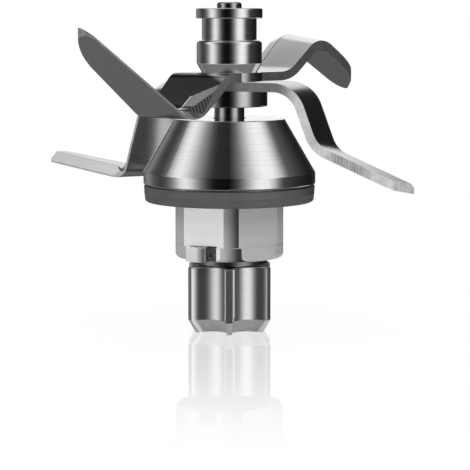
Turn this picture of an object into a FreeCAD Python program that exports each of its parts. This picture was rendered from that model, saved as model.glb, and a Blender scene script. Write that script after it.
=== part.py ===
import FreeCAD, Part
import math
import os
import Sketcher
from FreeCAD import Placement, Rotation, Vector

# Mixing blade assembly of a food processor.
# A shaft on two ball bearings carries a riveted head, two crossed blade plates with two bent
# wings each, and a star coupling. The bearing housing stands still: it locks into the base of
# the bowl with two bayonet lugs, under a rubber seal ring and a steel cone cover.
# Origin: on the shaft axis at the foot of the coupling. +Z is up, -Y faces the viewer.

doc = FreeCAD.newDocument("blade_assembly")
sheet = doc.addObject("Spreadsheet::Sheet", "Sizes")


class Size:
    """A length or angle that is known both as a sheet formula and as a number."""

    def __init__(self, text, value):
        self.text = text
        self.value = float(value)

    @staticmethod
    def of(other):
        return other if isinstance(other, Size) else Size(str(other), other)

    def __add__(self, other):
        other = Size.of(other)
        return Size(f"({self.text} + {other.text})", self.value + other.value)

    def __sub__(self, other):
        other = Size.of(other)
        return Size(f"({self.text} - {other.text})", self.value - other.value)

    def __mul__(self, other):
        other = Size.of(other)
        return Size(f"({self.text} * {other.text})", self.value * other.value)

    def __truediv__(self, other):
        other = Size.of(other)
        return Size(f"({self.text} / {other.text})", self.value / other.value)

    def __radd__(self, other):
        return Size.of(other) + self

    def __rsub__(self, other):
        return Size.of(other) - self

    def __rmul__(self, other):
        return Size.of(other) * self


sheet_row = 0


def size(alias, number):
    """Writes one driving size into the sheet and returns it."""
    global sheet_row
    sheet_row += 1
    sheet.set(f"A{sheet_row}", alias)
    sheet.set(f"B{sheet_row}", str(number))
    sheet.setAlias(f"B{sheet_row}", alias)
    return Size(f"Sizes.{alias}", number)


# Driving sizes, in millimetres and degrees

fit_gap = size("fit_gap", 0.03)
running_gap = size("running_gap", 0.3)
edge_round = size("edge_round", 0.4)

coupling_height = size("coupling_height", 18.9)
coupling_tip_radius = size("coupling_tip_radius", 12.95)
coupling_flute_radius = size("coupling_flute_radius", 7.6)
coupling_crest_width = size("coupling_crest_width", 1.9)
coupling_chamfer_height = size("coupling_chamfer_height", 3.7)
coupling_chamfer_inset = size("coupling_chamfer_inset", 2.2)
coupling_top_round = size("coupling_top_round", 0.6)
coupling_floor = size("coupling_floor", 5.0)
coupling_points = 6
foot_crest_share = 0.8

washer_radius = size("washer_radius", 10.8)
washer_boss_radius = size("washer_boss_radius", 7.2)
washer_boss_height = size("washer_boss_height", 0.6)
washer_thickness = size("washer_thickness", 1.3)

shaft_radius = size("shaft_radius", 4.0)
journal_radius = size("journal_radius", 4.27)
shaft_flat = size("shaft_flat", 3.2)
spigot_radius = size("spigot_radius", 3.2)
rivet_radius = size("rivet_radius", 3.5)
rivet_height = size("rivet_height", 1.7)
rivet_round = size("rivet_round", 0.8)

bearing_width = size("bearing_width", 7.0)
bearing_outer_radius = size("bearing_outer_radius", 11.0)
ball_radius = size("ball_radius", 2.15)
groove_depth = size("groove_depth", 0.45)
ball_gap = size("ball_gap", 0.05)
cage_thickness = size("cage_thickness", 1.2)
cage_height = size("cage_height", 5.4)
ball_count = 7
sleeve_wall = size("sleeve_wall", 1.2)
ring_thickness = size("ring_thickness", 1.1)
ring_depth = size("ring_depth", 0.9)
ring_land = size("ring_land", 1.3)
ring_width = size("ring_width", 2.2)
ring_opening = size("ring_opening", 7.0)

barrel_wall = size("barrel_wall", 4.35)
barrel_height = size("barrel_height", 15.9)
barrel_foot_round = size("barrel_foot_round", 1.3)
flat_depth = size("flat_depth", 1.45)
lower_flat_depth = size("lower_flat_depth", 1.1)
flat_step_height = size("flat_step_height", 4.0)
left_flat_angle = size("left_flat_angle", -31.0)
right_flat_angle = size("right_flat_angle", 35.6)
lug_angle = size("lug_angle", -36.0)
lug_width = size("lug_width", 5.4)
lug_height = size("lug_height", 4.0)
lug_stand = size("lug_stand", 1.55)
lug_round = size("lug_round", 1.6)
notch_angle = size("notch_angle", -20.0)
notch_width = size("notch_width", 3.0)
notch_height = size("notch_height", 4.4)
notch_depth = size("notch_depth", 2.4)

seal_height = size("seal_height", 4.6)
seal_width = size("seal_width", 8.65)
seal_flare = size("seal_flare", 0.3)
seal_round = size("seal_round", 0.8)

flange_thickness = size("flange_thickness", 1.8)
neck_wall = size("neck_wall", 2.4)
cover_wall = size("cover_wall", 1.5)
cover_rim_gap = size("cover_rim_gap", 0.4)
cover_overhang = size("cover_overhang", 0.1)
cover_rim_height = size("cover_rim_height", 3.3)
cover_cone_height = size("cover_cone_height", 15.2)
cover_shoulder = size("cover_shoulder", 2.2)
cover_bore_gap = size("cover_bore_gap", 0.6)

lip_seal_height = size("lip_seal_height", 5.0)
lip_seal_headroom = size("lip_seal_headroom", 2.0)
lip_seal_wall = size("lip_seal_wall", 1.4)
lip_seal_radius = size("lip_seal_radius", 8.6)
garter_wire = size("garter_wire", 0.55)
cover_ring_wire = size("cover_ring_wire", 0.9)
cover_ring_squeeze = size("cover_ring_squeeze", 0.05)

journal_length = size("journal_length", 3.4)
collar_radius = size("collar_radius", 10.8)
collar_height = size("collar_height", 4.6)

plate_thickness = size("plate_thickness", 2.5)
hub_radius = size("hub_radius", 9.4)
bevel_width = size("bevel_width", 5.0)
edge_land = size("edge_land", 0.5)
bevel_start = size("bevel_start", 12.0)
bevel_run = size("bevel_run", 6.0)
shoulder_round = size("shoulder_round", 12.0)

head_taper_radius = size("head_taper_radius", 7.8)
head_taper_height = size("head_taper_height", 2.5)
head_bulb_radius = size("head_bulb_radius", 9.25)
head_bulb_height = size("head_bulb_height", 6.7)
head_bulb_round = size("head_bulb_round", 1.45)
head_neck_radius = size("head_neck_radius", 7.75)
head_neck_height = size("head_neck_height", 5.9)
head_flange_radius = size("head_flange_radius", 9.4)
head_flange_height = size("head_flange_height", 2.9)

# Radii worked out from the ball bearings outwards

race_thickness = (bearing_outer_radius - shaft_radius) / 2 - ball_radius + groove_depth
inner_race_radius = shaft_radius + race_thickness
outer_race_radius = bearing_outer_radius - race_thickness
pitch_radius = (shaft_radius + bearing_outer_radius) / 2
barrel_radius = bearing_outer_radius + barrel_wall
flat_distance = barrel_radius - flat_depth
lower_flat_distance = barrel_radius - lower_flat_depth
lug_reach = barrel_radius + lug_stand
seal_foot_radius = barrel_radius + seal_width
seal_top_radius = seal_foot_radius + seal_flare
cover_rim_radius = seal_top_radius + cover_overhang
neck_radius = bearing_outer_radius + neck_wall
cover_top_radius = neck_radius + cover_shoulder

# Heights of the stack, worked out from the foot upwards

washer_foot = coupling_height
disc_foot = washer_foot + washer_boss_height
disc_top = disc_foot + washer_thickness
housing_foot = disc_top + running_gap
ring_foot = housing_foot + ring_land
lower_bearing_foot = ring_foot + ring_thickness
seal_foot = housing_foot + barrel_height
seal_top = seal_foot + seal_height
flange_top = seal_top + flange_thickness
rim_foot = seal_top + cover_rim_gap
rim_top = rim_foot + cover_rim_height
cover_top = rim_top + cover_cone_height
neck_top = cover_top - cover_wall
lip_foot = neck_top - lip_seal_headroom - lip_seal_height
upper_bearing_top = lip_foot - cover_wall
upper_bearing_foot = upper_bearing_top - bearing_width
collar_foot = cover_top + journal_length
lower_plate_foot = collar_foot + collar_height
upper_plate_foot = lower_plate_foot + plate_thickness
head_foot = upper_plate_foot + plate_thickness
bulb_foot = head_foot + head_taper_height
bulb_top = bulb_foot + head_bulb_height
head_flange_foot = bulb_top + head_neck_height
head_top = head_flange_foot + head_flange_height
rivet_top = head_top + rivet_height


# Ways of making a piece

def origin_plane(body, role):
    """The body's own origin plane with this role."""
    return next(part for part in body.Origin.OriginFeatures if part.Role == role)


def bind(thing, prop, value):
    """Ties a property to a sheet formula."""
    value = Size.of(value)
    thing.setExpression(prop, value.text)


def profile_sketch(body, label, corners):
    """A closed polygon in the XZ plane whose corners are tied to the sheet."""
    sketch = body.newObject("Sketcher::SketchObject", label + "_profile")
    sketch.AttachmentSupport = (origin_plane(body, "XZ_Plane"), [""])
    sketch.MapMode = "FlatFace"
    points = [Vector(Size.of(r).value, Size.of(z).value, 0) for r, z in corners]
    count = len(points)
    for index, point in enumerate(points):
        sketch.addGeometry(Part.LineSegment(point, points[(index + 1) % count]), False)
    for index in range(count):
        sketch.addConstraint(Sketcher.Constraint("Coincident", index, 2, (index + 1) % count, 1))
    for index, corner in enumerate(corners):
        for kind, axis, value in (("DistanceX", -2, corner[0]), ("DistanceY", -1, corner[1])):
            value = Size.of(value)
            if value.value == 0:
                sketch.addConstraint(Sketcher.Constraint("PointOnObject", index, 1, axis))
                continue
            number = sketch.addConstraint(Sketcher.Constraint(kind, -1, 1, index, 1, value.value))
            sketch.setExpression(f"Constraints[{number}]", value.text)
    return sketch


def circle_edges(shape, radius, height):
    """Names of the circular edges of this radius at this height around the axis."""
    names = []
    for index, edge in enumerate(shape.Edges):
        curve = edge.Curve
        if not isinstance(curve, Part.Circle):
            continue
        on_axis = math.hypot(curve.Center.x, curve.Center.y) < 1e-4
        if on_axis and abs(curve.Radius - radius) < 1e-4 and abs(curve.Center.z - height) < 1e-4:
            names.append(f"Edge{index + 1}")
    return names


def turned(label, corners, rounds=()):
    """A turned piece: its half section spun about Z, with rounds on the named corners."""
    body = doc.addObject("PartDesign::Body", label)
    sketch = profile_sketch(body, label, corners)
    spin = body.newObject("PartDesign::Revolution", label + "_spin")
    spin.Profile = sketch
    spin.ReferenceAxis = (sketch, ["V_Axis"])
    spin.Angle = 360.0
    doc.recompute()
    for corner, radius in rounds:
        r, z = (Size.of(value).value for value in corners[corner])
        before = body.Tip
        fillet = body.newObject("PartDesign::Fillet", f"{label}_round{corner}")
        fillet.Base = (before, circle_edges(before.Shape, r, z))
        fillet.Radius = Size.of(radius).value
        bind(fillet, "Radius", radius)
        body.Tip = fillet
        doc.recompute()
    return body


def ring(label, inner, outer, foot, top, rounds=()):
    """A plain turned ring or sleeve."""
    corners = [(inner, foot), (outer, foot), (outer, top), (inner, top)]
    return turned(label, corners, rounds)


def block(label, length, width, height, turn, offset):
    """A block centred across, turned about Z, whose near corner is at the given offset."""
    box = doc.addObject("Part::Box", label)
    for prop, value in (("Length", length), ("Width", width), ("Height", height)):
        bind(box, prop, value)
    radial, sideways, foot = (Size.of(value) for value in offset)
    turn = Size.of(turn)
    angle = math.radians(turn.value)
    sine, cosine = math.sin(angle), math.cos(angle)
    near = Vector(radial.value * cosine - sideways.value * sine,
                  radial.value * sine + sideways.value * cosine, foot.value)
    box.Placement = Placement(near, Rotation(Vector(0, 0, 1), turn.value))
    return box


def joined(kind, label, first, second):
    """A boolean of two pieces."""
    result = doc.addObject(kind, label)
    result.Base = first
    result.Tool = second
    return result


def group(label, pieces):
    """Several pieces fused into one tool."""
    result = doc.addObject("Part::MultiFuse", label)
    result.Shapes = pieces
    return result


def double_d(label, gap, foot, height):
    """A round bar with two flats: the form that carries the turning force."""
    radius = shaft_radius + gap
    bar = doc.addObject("Part::Cylinder", label + "_bar")
    bind(bar, "Radius", radius)
    bind(bar, "Height", height)
    bind(bar, "Placement.Base.z", foot)
    half = shaft_flat + gap
    slab = doc.addObject("Part::Box", label + "_slab")
    bind(slab, "Length", 2 * radius)
    bind(slab, "Width", 2 * half)
    bind(slab, "Height", height)
    bind(slab, "Placement.Base.x", 0 - radius)
    bind(slab, "Placement.Base.y", 0 - half)
    bind(slab, "Placement.Base.z", foot)
    return joined("Part::Common", label, bar, slab)


def front_angle(angle):
    """Turns an angle from the viewer's side, positive to the right, into one from +X."""
    return angle - 90


# Shaft: bearing seat, journal, blade seat with two flats, and a spigot riveted over the head

shaft_foot = coupling_floor
shaft_blank = turned("shaft_blank", [
    (0, shaft_foot), (shaft_radius, shaft_foot),
    (shaft_radius, upper_bearing_top), (journal_radius, upper_bearing_top),
    (journal_radius, collar_foot), (shaft_radius, collar_foot),
    (shaft_radius, head_foot), (spigot_radius, head_foot),
    (spigot_radius, head_top), (rivet_radius, head_top),
    (rivet_radius, rivet_top), (0, rivet_top)],
    rounds=[(10, rivet_round)])
flat_cutters = []
for zone, zone_foot, zone_top in (("lower", shaft_foot, coupling_height),
                                  ("upper", collar_foot, head_foot)):
    for side in (1, -1):
        cutter = doc.addObject("Part::Box", f"shaft_flat_{zone}_{'back' if side > 0 else 'front'}")
        bind(cutter, "Length", 4 * shaft_radius)
        bind(cutter, "Width", shaft_radius)
        bind(cutter, "Height", zone_top - zone_foot)
        bind(cutter, "Placement.Base.x", 0 - 2 * shaft_radius)
        bind(cutter, "Placement.Base.y", shaft_flat if side > 0 else 0 - shaft_flat - shaft_radius)
        bind(cutter, "Placement.Base.z", zone_foot)
        flat_cutters.append(cutter)
shaft = joined("Part::Cut", "shaft", shaft_blank, group("shaft_flats", flat_cutters))

# Head: a turned grip with a tapered bulb, a neck and a flange, held by the riveted spigot

head_bore = spigot_radius + fit_gap
head_knob = turned("head_knob", [
    (head_bore, head_foot), (head_taper_radius, head_foot),
    (head_bulb_radius, bulb_foot), (head_bulb_radius, bulb_top),
    (head_neck_radius, bulb_top), (head_neck_radius, head_flange_foot),
    (head_flange_radius, head_flange_foot), (head_flange_radius, head_top),
    (head_bore, head_top)],
    rounds=[(3, head_bulb_round), (6, edge_round), (7, edge_round)])

# Collar: keeps the blades clear of the cover, driven by the two flats of the shaft

collar_blank = ring("collar_blank", shaft_radius + fit_gap, collar_radius, collar_foot,
                    lower_plate_foot, rounds=[(1, edge_round)])
collar_seat = ring("collar_seat_fill", shaft_flat + fit_gap, shaft_radius + 2 * fit_gap,
                   collar_foot, lower_plate_foot)
collar_full = joined("Part::Fuse", "collar_full", collar_blank, collar_seat)
spacer_collar = joined("Part::Cut", "spacer_collar", collar_full,
                       double_d("collar_bore", fit_gap, collar_foot, collar_height))


# Blade wings

def turned_about(vector, axis, angle):
    """The vector turned about the axis by an angle in degrees."""
    return Rotation(axis, angle).multVec(vector)


class Fold:
    """One bend: the flat before it, the slant of its fold line, its angle (up is positive) and
    its radius at the middle of the sheet, on the trailing and on the leading side."""

    def __init__(self, flat, slant, angle, trail_radius, lead_radius):
        self.sizes = dict(flat=flat, slant=slant, angle=angle,
                          trail_radius=trail_radius, lead_radius=lead_radius)


class Edge:
    """One long edge in plan: its distance from the wing's middle line at the axis, how much it
    opens outwards, how far out it ends, and the round at its end. A leading edge may turn
    inwards at a shoulder and then ends further in by the tip inset."""

    def __init__(self, distance, slope, reach, tip_round, shoulder=0.0, tip_inset=0.0):
        self.sizes = dict(distance=distance, slope=slope, reach=reach, tip_round=tip_round,
                          shoulder=shoulder, tip_inset=tip_inset)


class Wing:
    """One bent wing: flat from the hub, first bend, middle panel, second bend, outer panel."""

    def __init__(self, name, heading, first, second, lead, trail):
        self.name = name
        self.heading = size(f"{name}_heading", heading).value
        for part, made in (("first", first), ("second", second), ("lead", lead), ("trail", trail)):
            for key, number in made.sizes.items():
                setattr(made, key, size(f"{name}_{part}_{key}", number).value)
        self.folds = [first, second]
        self.lead = lead
        self.trail = trail


half_sheet = plate_thickness.value / 2
slab_width = 60.0
far = 80.0
run_out_lean = 0.6
run_out_excess = 0.2
UP = Vector(0, 0, 1)


def wing_frames(wing, height):
    """The fold lines, each as its point, direction, normal before and normal after."""
    along = turned_about(Vector(1, 0, 0), Vector(0, 0, 1), wing.heading)
    normal = Vector(0, 0, 1)
    point = Vector(0, 0, height)
    folds = []
    for bend in wing.folds:
        across = normal.cross(along)
        fold = turned_about(across, normal, bend.slant)
        ahead = fold.cross(normal)
        setback = bend.trail_radius * math.tan(math.radians(abs(bend.angle)) / 2)
        corner = point + along * bend.flat + ahead * setback
        after = turned_about(normal, fold, -bend.angle)
        folds.append((corner, fold, normal, after))
        point = corner + turned_about(ahead, fold, -bend.angle) * setback
        along = turned_about(along, fold, -bend.angle)
        normal = after
    return folds


def framed_box(corner, along, across, normal, length, width, thickness):
    """A box that starts at the corner, centred across and through its thickness."""
    box = Part.makeBox(length, width, thickness, Vector(0, -width / 2, -thickness / 2))
    box.Placement = Placement(corner, Rotation(along, across, normal, "XYZ"))
    return box


def plan_point(wing, u, v, z=0.0):
    """A point from the wing's own plan frame: u outwards, v towards the leading edge."""
    return turned_about(Vector(u, v, z), UP, wing.heading)


def lead_point(wing, u):
    """The point of the leading edge's line at this distance from the axis, in plan."""
    return plan_point(wing, u, wing.lead.distance + wing.lead.slope * u)


def trail_point(wing, u):
    """The point of the trailing edge's line at this distance from the axis, in plan."""
    return plan_point(wing, u, -wing.trail.distance - wing.trail.slope * u)


def upright_prism(points):
    """An upright prism over a plan polygon."""
    return Part.Face(Part.makePolygon(points + points[:1])).extrude(UP * (2 * far))


def folded_strip(wing, height):
    """The strip between the two edge lines, with rounded bends and no tip yet."""
    folds = wing_frames(wing, height)
    starts = [(Vector(0, 0, height), plan_point(wing, 1, 0), UP)]
    for corner, fold, before, after in folds:
        starts.append((corner, fold.cross(after), after))
    strip = None
    for index, (point, along, normal) in enumerate(starts):
        panel = framed_box(point - along * far, along, normal.cross(along), normal,
                           2 * far, slab_width, 2 * half_sheet)
        for number, (corner, fold, before, after) in enumerate(folds):
            ahead = (fold.cross(before) + fold.cross(after)).normalize()
            beyond = {index: ahead, index - 1: ahead * -1}.get(number)
            if beyond is not None:
                panel = panel.cut(framed_box(corner, beyond, fold, beyond.cross(fold),
                                             2 * far, 2 * far, 2 * far))
        strip = panel if strip is None else strip.fuse(panel)
    lane = upright_prism([lead_point(wing, 0), trail_point(wing, 0),
                          trail_point(wing, far), lead_point(wing, far)])
    strip = strip.common(lane).removeSplitter()
    for (corner, fold, before, after), bend in zip(folds, wing.folds):
        mitre = (before + after) * (1 / (1 + before.dot(after)))
        for side in (1, -1):
            change = -half_sheet if side * bend.angle > 0 else half_sheet
            middle = corner + mitre * (side * half_sheet)
            edge = min(strip.Edges, key=lambda item: item.distToShape(Part.Vertex(middle))[0])
            ends = (bend.trail_radius + change, bend.lead_radius + change)
            if (edge.Vertexes[0].Point - middle).dot(fold) > 0:
                ends = ends[::-1]
            strip = strip.makeFillet(ends[0], ends[1], [edge])
    return strip


def along_lead(wing, edge):
    """Whether an edge lies on the upright plane of the leading edge."""
    for point in edge.discretize(3):
        flat = turned_about(point, UP, -wing.heading)
        if abs(flat.y - wing.lead.distance - wing.lead.slope * flat.x) > 1e-3:
            return False
    return True


def bevelled(wing, strip):
    """The strip with the bevel ground on the upper face along the leading edge."""
    lead_faces = [face for face in strip.Faces if all(along_lead(wing, e) for e in face.Edges)]
    depth = plate_thickness.value - edge_land.value
    outermost = None
    for index, face in enumerate(strip.Faces):
        if any(face.isSame(item) for item in lead_faces):
            continue
        for edge in face.Edges:
            if not along_lead(wing, edge):
                continue
            centre = edge.CenterOfMass
            normal = face.normalAt(*face.Surface.parameter(centre))
            if normal.z > 0 and (outermost is None or centre.Length > outermost[0]):
                outermost = (centre.Length, index, edge)
    lead_index = min(index for index, face in enumerate(strip.Faces)
                     if any(face.isSame(item) for item in lead_faces))
    broad_index, edge = outermost[1:]
    sizes = (bevel_width.value, depth) if broad_index < lead_index else (depth, bevel_width.value)
    return strip.makeChamfer(sizes[0], sizes[1], [edge])


def corner_round(before, corner, after, radius):
    """Start, middle and end of the arc that rounds a corner."""
    first = (before - corner).normalize()
    second = (after - corner).normalize()
    opening = first.getAngle(second)
    setback = radius / math.tan(opening / 2)
    centre = corner + (first + second).normalize() * (radius / math.sin(opening / 2))
    start = corner + first * setback
    stop = corner + second * setback
    middle = centre + (corner - centre).normalize() * radius
    return start, middle, stop


def rounded_outline(corners):
    """A closed plan outline through corners that are given with their rounds."""
    arcs = []
    for index, (corner, radius) in enumerate(corners):
        before, after = corners[index - 1][0], corners[(index + 1) % len(corners)][0]
        arcs.append(corner_round(before, corner, after, radius) if radius else (corner,) * 3)
    edges = []
    for arc, following in zip(arcs, arcs[1:] + arcs[:1]):
        if arc[0] != arc[2]:
            edges.append(Part.Arc(*arc).toShape())
        edges.append(Part.LineSegment(arc[2], following[0]).toShape())
    return Part.Wire(edges)


def outline_prism(wing):
    """The wing's outline seen from above, as an upright prism."""
    tip_lead = lead_point(wing, wing.lead.reach) - plan_point(wing, 0, wing.lead.tip_inset)
    corners = [(lead_point(wing, 0), 0), (trail_point(wing, 0), 0),
               (trail_point(wing, wing.trail.reach), wing.trail.tip_round),
               (tip_lead, wing.lead.tip_round)]
    if wing.lead.tip_inset:
        corners.append((lead_point(wing, wing.lead.shoulder), shoulder_round.value))
    return Part.Face(rounded_outline(corners)).extrude(UP * (2 * far))


def bevel_root(wing, height):
    """The part of the strip near the hub that is left unground, ending in a slanted run-out."""
    edge_point = lead_point(wing, bevel_start.value)
    run_out = plan_point(wing, bevel_run.value, -bevel_width.value)
    outer = edge_point - run_out * run_out_excess
    inner = edge_point + run_out * (1 + run_out_excess)
    inside = -bevel_width.value * (1 + run_out_excess)
    corners = [outer, lead_point(wing, 0) + plan_point(wing, 0, 1),
               lead_point(wing, 0) + plan_point(wing, 0, inside), inner]
    lean = plan_point(wing, -1, 0) * run_out_lean
    below = Vector(0, 0, height - far / 2) - lean * (far / 2)
    face = Part.Face(Part.makePolygon([corner + below for corner in corners + corners[:1]]))
    return face.extrude((UP + lean) * far)


def wing_shape(wing, height):
    """The finished wing: bent, ground along the leading edge, and cut to its outline."""
    strip = folded_strip(wing, height)
    ground = bevelled(wing, strip)
    kept = strip.common(bevel_root(wing, height))
    return ground.fuse(kept).removeSplitter().common(outline_prism(wing))


def plate(label, foot, wings):
    """A blade plate: two wings and the hub, with the bore for the shaft's flats."""
    height = foot.value + half_sheet
    hub = Part.makeCylinder(hub_radius.value, plate_thickness.value, Vector(0, 0, foot.value))
    shape = hub
    for wing in wings:
        piece = wing_shape(wing, height)
        shape = shape.fuse(piece)
    blank = doc.addObject("Part::Feature", label + "_blank")
    blank.Shape = shape.removeSplitter()
    bore = double_d(label + "_bore", fit_gap, foot - 1, plate_thickness + 2)
    return joined("Part::Cut", label, blank, bore)


front_left = Wing("front_left", heading=226.0,
                  first=Fold(flat=10.6, slant=24.0, angle=-44.8, trail_radius=3.0,
                             lead_radius=3.0),
                  second=Fold(flat=11.3, slant=22.0, angle=82.0, trail_radius=4.9,
                              lead_radius=4.9),
                  lead=Edge(distance=8.8, slope=-0.06, reach=62.5, tip_round=3.0),
                  trail=Edge(distance=8.5, slope=-0.09, reach=53.0, tip_round=15.0))
back_right = Wing("back_right", heading=41.1,
                  first=Fold(flat=12.4, slant=6.9, angle=41.8, trail_radius=9.1,
                             lead_radius=9.1),
                  second=Fold(flat=8.8, slant=-3.0, angle=-77.0, trail_radius=5.4,
                              lead_radius=6.0),
                  lead=Edge(distance=9.1, slope=0.09, reach=51.5, tip_round=4.0,
                            shoulder=28.0, tip_inset=7.5),
                  trail=Edge(distance=6.8, slope=0.03, reach=41.0, tip_round=10.0))
front_right = Wing("front_right", heading=340.3,
                   first=Fold(flat=16.4, slant=-2.0, angle=-69.5, trail_radius=8.6,
                              lead_radius=8.6),
                   second=Fold(flat=9.5, slant=-10.8, angle=47.1, trail_radius=8.3,
                               lead_radius=8.3),
                   lead=Edge(distance=9.6, slope=0.01, reach=52.5, tip_round=3.0),
                   trail=Edge(distance=9.3, slope=0.02, reach=50.5, tip_round=4.0))
back_left = Wing("back_left", heading=158.8,
                 first=Fold(flat=14.2, slant=-21.0, angle=-75.0, trail_radius=8.0,
                            lead_radius=8.0),
                 second=Fold(flat=19.6, slant=-19.0, angle=84.8, trail_radius=2.6,
                             lead_radius=2.6),
                 lead=Edge(distance=9.2, slope=-0.08, reach=54.2, tip_round=1.5),
                 trail=Edge(distance=9.2, slope=-0.10, reach=54.5, tip_round=4.0))

upper_blade = plate("upper_blade", upper_plate_foot, [front_left, back_right])
lower_blade = plate("lower_blade", lower_plate_foot, [front_right, back_left])


# Cover: a turned steel cone over the housing, its rim standing just clear of the seal ring

cone_lean = (cover_rim_radius - cover_top_radius) / cover_cone_height
cone_side_wall = cover_wall * math.hypot(1, cone_lean.value)
inner_corner_drop = cover_wall * math.tan(math.atan(cone_lean.value) / 2)
inner_top_radius = cover_top_radius + cone_lean * cover_wall - cone_side_wall
inner_rim_radius = cover_rim_radius - cover_wall
cone_cover = turned("cone_cover", [
    (inner_rim_radius, rim_foot), (cover_rim_radius, rim_foot),
    (cover_rim_radius, rim_top), (cover_top_radius, cover_top),
    (journal_radius + cover_bore_gap, cover_top), (journal_radius + cover_bore_gap, neck_top),
    (inner_top_radius, neck_top), (inner_rim_radius, rim_top - inner_corner_drop)],
    rounds=[(1, edge_round), (2, edge_round), (3, edge_round)])

# Bearing housing: barrel below, flange and neck under the cover, bored for two ball bearings

housing_bore = bearing_outer_radius + fit_gap
shoulder_radius = bearing_outer_radius - 2 * race_thickness
pocket_radius = lip_seal_radius + fit_gap
flange_radius = inner_rim_radius - fit_gap
ring_groove = housing_bore + ring_depth
housing_blank = turned("housing_blank", [
    (housing_bore, housing_foot), (barrel_radius, housing_foot),
    (barrel_radius, seal_top), (flange_radius, seal_top),
    (flange_radius, flange_top), (neck_radius, flange_top),
    (neck_radius, neck_top), (pocket_radius, neck_top),
    (pocket_radius, lip_foot), (shoulder_radius, lip_foot),
    (shoulder_radius, upper_bearing_top), (housing_bore, upper_bearing_top),
    (housing_bore, lower_bearing_foot), (ring_groove, lower_bearing_foot),
    (ring_groove, ring_foot), (housing_bore, ring_foot)],
    rounds=[(1, barrel_foot_round)])
trimmings = []
lugs = []
for turn, where in ((0, "front"), (180, "back")):
    for angle, side in ((left_flat_angle, "left"), (right_flat_angle, "right")):
        for distance, foot, height, level in (
                (lower_flat_distance, housing_foot, flat_step_height, "low"),
                (flat_distance, housing_foot + flat_step_height,
                 barrel_height - flat_step_height, "high")):
            trimmings.append(block(f"flat_{where}_{side}_{level}", barrel_radius,
                                   2 * barrel_radius, height, front_angle(angle) + turn,
                                   (distance, 0 - barrel_radius, foot)))
    trimmings.append(block(f"notch_{where}", barrel_radius, notch_width, notch_height,
                           front_angle(notch_angle) + turn,
                           (barrel_radius - notch_depth, 0 - notch_width / 2, housing_foot)))
    lug_root = bearing_outer_radius + cover_wall
    bar = block(f"lug_bar_{where}", lug_reach - lug_root, lug_width, lug_height,
                front_angle(lug_angle) + turn, (lug_root, 0 - lug_width / 2, housing_foot))
    doc.recompute()
    corner = bar.Placement.multVec(Vector((lug_reach - lug_root).value / 2, 0, lug_height.value))
    nearest = min(range(12), key=lambda n: (bar.Shape.Edges[n].CenterOfMass - corner).Length)
    lug = doc.addObject("Part::Fillet", f"lug_{where}")
    lug.Base = bar
    lug.Edges = [(nearest + 1, lug_round.value, lug_round.value)]
    lugs.append(lug)
housing_cut = joined("Part::Cut", "housing_cut", housing_blank, group("trimmings", trimmings))
bearing_housing = group("bearing_housing", [housing_cut] + lugs)

# Seal ring: rubber, seated on the barrel under the flange

seal_ring = turned("seal_ring", [
    (barrel_radius + fit_gap, seal_foot), (seal_foot_radius, seal_foot),
    (seal_top_radius, seal_top), (barrel_radius + fit_gap, seal_top)],
    rounds=[(1, seal_round), (2, edge_round)])

# Cover seal: a round rubber ring in the corner between the flange and the rim

cover_seal = doc.addObject("Part::Torus", "cover_seal")
bind(cover_seal, "Radius1", inner_rim_radius - cover_ring_wire - cover_ring_squeeze)
bind(cover_seal, "Radius2", cover_ring_wire)
bind(cover_seal, "Placement.Base.z", flange_top + cover_ring_wire)

# Shaft seal: a lip around the journal, pressed on it by a coiled ring spring

lip_radius = journal_radius + fit_gap
lip_top = lip_foot + lip_seal_height
lip_back = lip_radius + lip_seal_wall
shaft_seal = turned("shaft_seal", [
    (lip_radius, lip_foot), (lip_seal_radius, lip_foot),
    (lip_seal_radius, lip_top), (lip_seal_radius - lip_seal_wall, lip_top),
    (lip_seal_radius - lip_seal_wall, lip_foot + lip_seal_wall),
    (lip_back, lip_foot + lip_seal_wall), (lip_back, lip_top - edge_round),
    (lip_radius, lip_top - edge_round)])
garter_spring = doc.addObject("Part::Torus", "garter_spring")
bind(garter_spring, "Radius1", lip_back + garter_wire + fit_gap)
bind(garter_spring, "Radius2", garter_wire)
bind(garter_spring, "Placement.Base.z", lip_top - 2 * garter_wire - edge_round)


# Ball bearings

def race(label, inner, outer, foot):
    """A bearing ring with its ball groove."""
    blank = ring(label + "_blank", inner, outer, foot, foot + bearing_width)
    groove = doc.addObject("Part::Torus", label + "_groove")
    bind(groove, "Radius1", pitch_radius)
    bind(groove, "Radius2", ball_radius + ball_gap)
    bind(groove, "Placement.Base.z", foot + bearing_width / 2)
    return joined("Part::Cut", label, blank, groove)


def balls(label, foot):
    """A circle of balls at the middle of the bearing."""
    spheres = []
    for number in range(ball_count):
        angle = math.radians(360 * number / ball_count)
        ball = doc.addObject("Part::Sphere", f"{label}_{number + 1}")
        bind(ball, "Radius", ball_radius)
        bind(ball, "Placement.Base.x", pitch_radius * math.cos(angle))
        bind(ball, "Placement.Base.y", pitch_radius * math.sin(angle))
        bind(ball, "Placement.Base.z", foot + bearing_width / 2)
        spheres.append(ball)
    return group(label, spheres)


def cage_pockets(label, foot):
    """Round holes through the cage, one for each ball."""
    pockets = []
    middle = (foot + bearing_width / 2).value
    near = (pitch_radius - cage_thickness).value
    for number in range(ball_count):
        angle = math.radians(360 * number / ball_count)
        outward = Vector(math.cos(angle), math.sin(angle), 0)
        pocket = doc.addObject("Part::Cylinder", f"{label}_{number + 1}")
        bind(pocket, "Radius", ball_radius + 2 * ball_gap)
        bind(pocket, "Height", 2 * cage_thickness)
        pocket.Placement = Placement(outward * near + UP * middle, Rotation(UP, outward))
        pockets.append(pocket)
    return group(label, pockets)


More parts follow.
